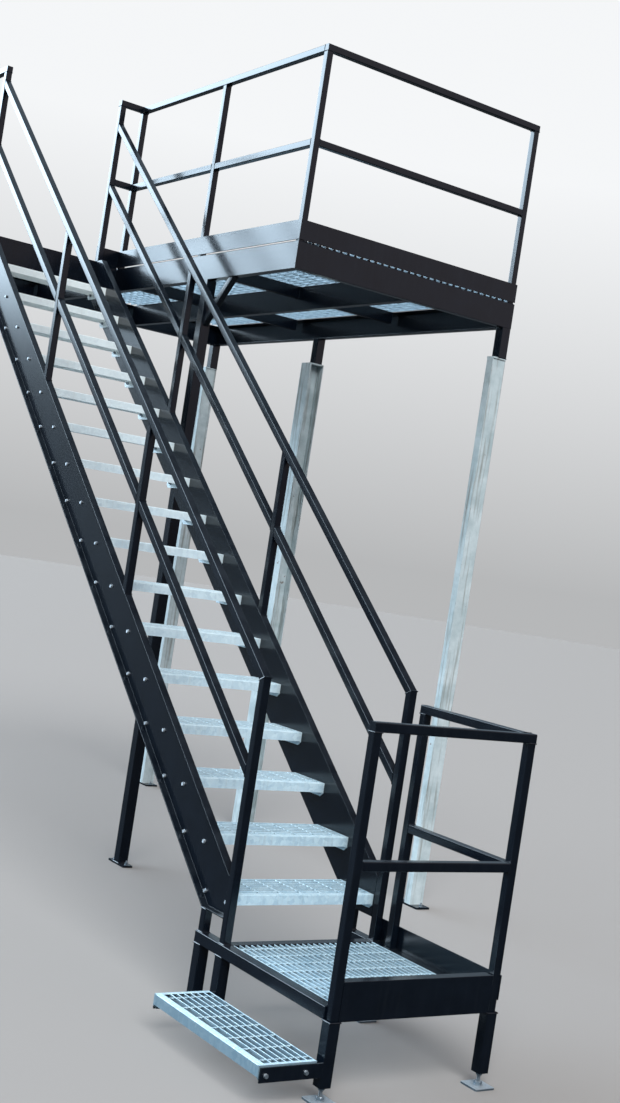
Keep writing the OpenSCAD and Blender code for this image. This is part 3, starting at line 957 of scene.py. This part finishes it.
# %% Weld the bar ends
# The lumps' black paint also stands for the shade on the bar ends, as painted shade
LUMP_SIZE = (22 * MM, 8 * MM, 13 * MM, 1)
LUMP_FORWARD = 3 * MM
LUMP_RAISED = 5 * MM
low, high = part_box("platform_grating_front")
bar_pitch = (high.x - low.x - BAR) / (PLATFORM_BARS - 1)
lumps = bmesh.new()
for i in range(PLATFORM_BARS):
    place = Vector((low.x + BAR / 2 + i * bar_pitch, low.y - LUMP_FORWARD, low.z + LUMP_RAISED))
    bmesh.ops.create_icosphere(lumps, subdivisions=2, radius=0.5,
                               matrix=Matrix.Translation(place) @ Matrix.Diagonal(LUMP_SIZE))
finish_piece("DeckBarEndWelds", lumps, black_paint)
print("slit lumps every", round(bar_pitch / MM), "mm")

# %% [markdown]
# ## Bolts
# Each tread hangs on four bolts. A bolt is a round washer under a hexagon, and real heads have
# their corners turned off, which a vertex bevel gives. On the inner side is a nut with the end of
# the screw standing out of it. The bolts are bright zinc, so they show as dots along the channel.

# %% Make a bolt head and a nut
WASHER_SIDES = 14
SCREW_SIDES = 10
RIM_EASE = 0.5 * MM
TIP_EASE = 1 * MM
# As parts of the width across the flats
CORNER_PART = 0.13
SCREW_PART = 0.3


def hexagon(across, tall, washer, washer_tall, screw=0.0):
    """A washer with a hexagon on it, seated at height 0 and looking up Z."""
    shape = bmesh.new()
    ring = add_round(shape, WASHER_SIDES, washer / 2, 0, washer_tall)
    ease(shape, top_edges(ring, washer_tall), RIM_EASE)
    top = washer_tall + tall
    block = add_round(shape, 6, across / math.sqrt(3), washer_tall, top)
    corners = [vert for vert in block if vert.co.z > washer_tall + tall / 2]
    ease(shape, corners, across * CORNER_PART, affect="VERTICES")
    if screw:
        end = add_round(shape, SCREW_SIDES, across * SCREW_PART, top, top + screw)
        ease(shape, top_edges(end, top + screw), TIP_EASE)
    return as_pattern("hexagon", shape)


bolt_head = hexagon(across=15 * MM, tall=6.5 * MM, washer=19 * MM, washer_tall=2 * MM)
bolt_nut = hexagon(across=15 * MM, tall=8 * MM, washer=19 * MM, washer_tall=2 * MM, screw=5 * MM)
print("a nut has", len(bolt_nut.polygons), "faces")

# %% Bolt the treads on
BOLT_DROP = 38 * MM
BOLT_BACKS = (30 * MM, 208 * MM)
WEB = 6 * MM
TO_LEFT, TO_RIGHT = Vector((-1, 0, 0)), Vector((1, 0, 0))
TO_FRONT, TO_BACK = Vector((0, -1, 0)), Vector((0, 1, 0))


def towards(place, way, spin):
    """A matrix that sets a pattern's Z along a direction at a place."""
    return (Matrix.Translation(place) @ Vector(way).to_track_quat("Z", "Y").to_matrix().to_4x4()
            @ Matrix.Rotation(spin, 4, "Z"))


def add_bolt(end, out):
    """A head outside the steel that carries a tread's end plate, and its nut inside."""
    stamp(heads, bolt_head, towards(end + out * WEB, out, random.random()))
    stamp(nuts, bolt_nut, towards(end - out * SHEET, -out, random.random()))


random.seed(7)
heads, nuts = bmesh.new(), bmesh.new()
for node in tread_nodes:
    low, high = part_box(node)
    for back in BOLT_BACKS:
        for x, out in ((low.x, TO_LEFT), (high.x, TO_RIGHT)):
            add_bolt(Vector((x, low.y + back, high.z - BOLT_DROP)), out)
low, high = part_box("entry_step")
for back in BOLT_BACKS:
    for y, out in ((low.y, TO_FRONT), (high.y, TO_BACK)):
        add_bolt(Vector((low.x + back, y, high.z - BOLT_DROP)), out)
print("bolts have", len(heads.faces) + len(nuts.faces), "faces")
finish_piece("TreadBoltHeads", heads, bolt_zinc)
finish_piece("TreadBoltNuts", nuts, bolt_zinc)

# %% [markdown]
# ## Screw threads
# A thread is a small triangle that climbs as it goes round, so `spin` is given a rise per step. Its
# two ends are closed, and it is wound round a plain core a little thinner than the screw.

# %% Cut a thread
THREAD_STEPS = 12
THREAD_DEEP = 0.55
STUD_SIDES = 16


def add_stud(shape, place, radius, pitch, low, high):
    """A threaded stud along Z between two heights."""
    add_round(shape, STUD_SIDES, radius - THREAD_DEEP * pitch, low, high, place)
    steps = THREAD_STEPS * int((high - low) / pitch - 0.5)
    half = pitch / 2
    ridge = bmesh.new()
    stand = (Matrix.Translation((radius - half, 0, low + half))
             @ Matrix.Rotation(math.radians(90), 4, "X") @ Matrix.Rotation(math.radians(30), 4, "Z"))
    bmesh.ops.create_circle(ridge, segments=3, radius=half, matrix=stand)
    bmesh.ops.spin(ridge, geom=ridge.verts[:] + ridge.edges[:], axis=(0, 0, 1), cent=(0, 0, 0),
                   dvec=(0, 0, pitch / THREAD_STEPS), angle=math.tau * steps / THREAD_STEPS, steps=steps)
    bmesh.ops.holes_fill(ridge, edges=ridge.edges, sides=3)
    stamp(shape, as_pattern("ridge", ridge), Matrix.Translation(place))


print("threads take", THREAD_STEPS, "steps a turn")

# %% [markdown]
# ## Levelling feet
# The landing stands on six studs, each screwed into its leg. A stud has a nut on its plate and a
# lock nut under the leg, which are turned at random, as spanners leave them. The plate's upright
# corners are rounded first and its top edge is softened after, so that the soft edge runs round
# the corners too.

# %% Make the levelling feet
FOOT_WIDE = 100 * MM
FOOT_TALL = 8 * MM
FOOT_ROUND = 8 * MM
FOOT_SOFT = 1 * MM
LEG_LOW = 60 * MM
LANDING_LONG = 791 * MM
STUD, STUD_PITCH = 8 * MM, 2.5 * MM


def add_foot_plate(shape, x, y):
    """A square plate with rounded corners and a softened top edge."""
    half = FOOT_WIDE / 2
    verts = add_block(shape, (x - half, y - half, 0), (x + half, y + half, FOOT_TALL))
    rounded = ease(shape, edges_along(verts, 2), FOOT_ROUND, segments=4)
    plate = each_once(vert for face in rounded["faces"] for vert in face.verts)
    ease(shape, top_edges(plate, FOOT_TALL), FOOT_SOFT, segments=2)


foot_nut = hexagon(across=30 * MM, tall=13 * MM, washer=36 * MM, washer_tall=3 * MM)
lock_nut = hexagon(across=24 * MM, tall=9 * MM, washer=30 * MM, washer_tall=2.5 * MM)
low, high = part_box("levelling_feet")
feet = bmesh.new()
for x in (low.x + FOOT_WIDE / 2, high.x - FOOT_WIDE / 2):
    for y in (low.y + FOOT_WIDE / 2, LANDING_LONG, high.y - FOOT_WIDE / 2):
        add_foot_plate(feet, x, y)
        add_stud(feet, (x, y, 0), STUD, STUD_PITCH, FOOT_TALL, LEG_LOW)
        stamp(feet, foot_nut, towards((x, y, FOOT_TALL), (0, 0, 1), random.random()))
        stamp(feet, lock_nut, towards((x, y, LEG_LOW), (0, 0, -1), random.random()))
print("feet have", len(feet.faces), "faces")
finish_piece("LevellingFeetThreaded", feet, bolt_zinc, stands_for=["levelling_feet"])

# %% [markdown]
# ## Column anchors
# Each column's base is held by two anchors whose stud ends stand out of their nuts. Their places are
# not typed again here: the frame's record keeps each bolt pattern's middle and spacing.

# %% Make the column anchors
BASE_TALL = 12 * MM
ANCHOR_UP = 24 * MM
ANCHOR, ANCHOR_PITCH = 6 * MM, 1.75 * MM
anchor_nut = hexagon(across=18 * MM, tall=10 * MM, washer=24 * MM, washer_tall=2.5 * MM)
anchors = bmesh.new()
patterns = [mount for mount in frame["record"]["mounts"] if mount["kind"] == "bolt_pattern"]
for mount in patterns:
    x, y = mount["pos_m"][:2]
    for side in (-1, 1):
        place = Vector((x, y + side * mount["dims"]["spacing_y_mm"] * MM / 2, 0))
        add_stud(anchors, place, ANCHOR, ANCHOR_PITCH, 1 * MM, BASE_TALL + ANCHOR_UP)
        stamp(anchors, anchor_nut, towards(place + Vector((0, 0, BASE_TALL)), (0, 0, 1), random.random()))
print(len(patterns), "bases anchored")
finish_piece("ColumnAnchors", anchors, bolt_zinc)

# %% [markdown]
# ## The floor
# A pale round floor stands for the studio's sweep. The camera sees it in its own pale tone, and the
# steel mirrors a darker one, which is how a studio keeps gloss black from greying. The Light Path
# node tells a ray that comes from the camera from one that comes off the steel.

# %% Lay the floor
FLOOR_SEEN = (0.33, 0.305, 0.29, 1)
FLOOR_MIRRORED = (0.030, 0.034, 0.038, 1)
FLOOR_REACH = 60


def make_floor():
    """A flat disc that the object stands on, kept out of the object."""
    shape = bmesh.new()
    bmesh.ops.create_circle(shape, cap_ends=True, segments=96, radius=FLOOR_REACH)
    mesh = bpy.data.meshes.new("floor")
    shape.to_mesh(mesh)
    shape.free()
    floor = new_object("floor", mesh)
    material, tree, shader = new_material("floor_matt")
    seen = add(tree, "ShaderNodeLightPath").outputs["Is Camera Ray"]
    feed(tree, shader, Base_Color=blend_colours(tree, seen, FLOOR_MIRRORED, FLOOR_SEEN), Roughness=0.95,
         Specular_IOR_Level=0.2)
    mesh.materials.append(material)
    return floor


floor = make_floor()
print("the floor reaches", round(floor.dimensions.x / 2), "m")

# %% [markdown]
# ## The sky that the steel mirrors
# Gloss black has no look of its own, it shows its surroundings, so the light matters more than the
# paint. The world is dim towards the viewer's right, pale overhead, and has one bright window of
# sky at the far left, just above eye level. Faces that look left mirror that window once they are
# higher than the eye, so the platform's side turns pale while the lower steel stays dark. A weak
# panel on the opposite side keeps the faces that look that way from going quite black. On matt
# surfaces so strong a window would be too bright and too blue, so their rays meet a weaker and more
# neutral one. The camera itself sees a plain roll of paper that fades from the floor's tone to
# white.

# %% Hang the sky
TO_FAR_LEFT = Vector((-0.56, 0.83, 0.0)).normalized()
WINDOW = 10.5
WINDOW_ON_MATT = 3.0
WINDOW_SIDE = (0.55, 0.85)
WINDOW_FOOT = (0.115, 0.185)
WINDOW_HEAD = (0.60, 0.42)
WINDOW_TINT = (0.66, 0.84, 1.0, 1)
WINDOW_TINT_ON_MATT = (0.90, 0.96, 1.0, 1)
PANEL = 0.45
PANEL_SIDE = (-0.50, -0.80)
PANEL_FOOT = (0.02, 0.12)
PANEL_TINT = (0.95, 0.86, 0.92, 1)
PANEL_TINT_SIDE = (-0.8, 0.0)
# A span of height or side, and the brightness at its two ends
ROOM_BY_HEIGHT = (0.0, 0.85, 0.30, 0.80)
ROOM_BY_SIDE = (-0.25, 0.45, 0.20, 1.0)
PAPER = (0.97, 0.985, 1.0, 1)
PAPER_BY_HEIGHT = (0.0, 0.26, 0.485, 0.94)


def brighten(tree, light, mask, power):
    """Adds a power to a light where its mask lets it through."""
    return add(tree, "ShaderNodeMath", settings={"operation": "MULTIPLY_ADD"},
               _0=mask, _1=power, _2=light).outputs[0]


def make_sky():
    """A dim room with one bright window, and a roll of paper for the camera."""
    world = bpy.data.worlds.new("studio")
    world.use_nodes = True
    tree = world.node_tree
    way = add(tree, "ShaderNodeTexCoord").outputs["Generated"]
    height = height_of(tree, way)
    leftward = add(tree, "ShaderNodeVectorMath", "far left", {"operation": "DOT_PRODUCT"}, _0=way,
                   _1=TO_FAR_LEFT).outputs["Value"]
    ray = add(tree, "ShaderNodeLightPath").outputs
    room = through(tree, remap(tree, height, *ROOM_BY_HEIGHT), remap(tree, leftward, *ROOM_BY_SIDE))
    panel = through(tree, remap(tree, leftward, *PANEL_SIDE), remap(tree, height, *PANEL_FOOT))
    window = through(tree, remap(tree, leftward, *WINDOW_SIDE),
                     through(tree, remap(tree, height, *WINDOW_FOOT), remap(tree, height, *WINDOW_HEAD)))
    window_power = remap(tree, ray["Is Diffuse Ray"], 0.0, 1.0, WINDOW, WINDOW_ON_MATT)
    cool = blend_colours(tree, ray["Is Diffuse Ray"], WINDOW_TINT, WINDOW_TINT_ON_MATT)
    sky = tree.nodes["Background"]
    feed(tree, sky, Strength=brighten(tree, brighten(tree, room, panel, PANEL), window, window_power),
         Color=blend_colours(tree, remap(tree, leftward, *PANEL_TINT_SIDE), PANEL_TINT, cool))
    paper = add(tree, "ShaderNodeBackground", "paper roll", Color=PAPER,
                Strength=remap(tree, height, *PAPER_BY_HEIGHT))
    seen = add(tree, "ShaderNodeMixShader", _0=ray["Is Camera Ray"], _1=sky.outputs[0],
               _2=paper.outputs[0])
    feed(tree, tree.nodes["World Output"], Surface=seen.outputs[0])
    bpy.context.scene.world = world
    return world


sky = make_sky()
print("the sky has", len(sky.node_tree.nodes), "nodes")

# %% [markdown]
# ## Daylight
# One sun gives the shadows their side. Forty degrees across, it is as soft as a bright overcast
# sky, and it falls from the viewer's side halfway up, so the treads' fronts and the tops of the
# gratings are lit together.

# %% Hang the sun
SUN_WAY = Vector((0.34, 0.68, -0.72))
SUN_POWER = 3.7
SUN_WIDTH = math.radians(40)
SUN_COLOUR = (0.93, 0.975, 1.0)
light = bpy.data.lights.new("soft_daylight", "SUN")
light.energy = SUN_POWER
light.angle = SUN_WIDTH
light.color = SUN_COLOUR
sun = new_object("soft_daylight", light)
sun.rotation_euler = SUN_WAY.to_track_quat("-Z", "Y").to_euler()
print("sun stands", round(math.degrees(SUN_WAY.angle(Vector((0, 0, -1))))), "degrees from overhead")

# %% [markdown]
# ## Deep blacks
# Blender's default view transform softens a picture as film does and lifts its blacks. The
# photograph's enamel is nearly black, so the Standard transform, which shows each value as it is,
# comes closer.

# %% Show the values as they are
bpy.context.scene.view_settings.view_transform = "Standard"
print("view transform:", bpy.context.scene.view_settings.view_transform)
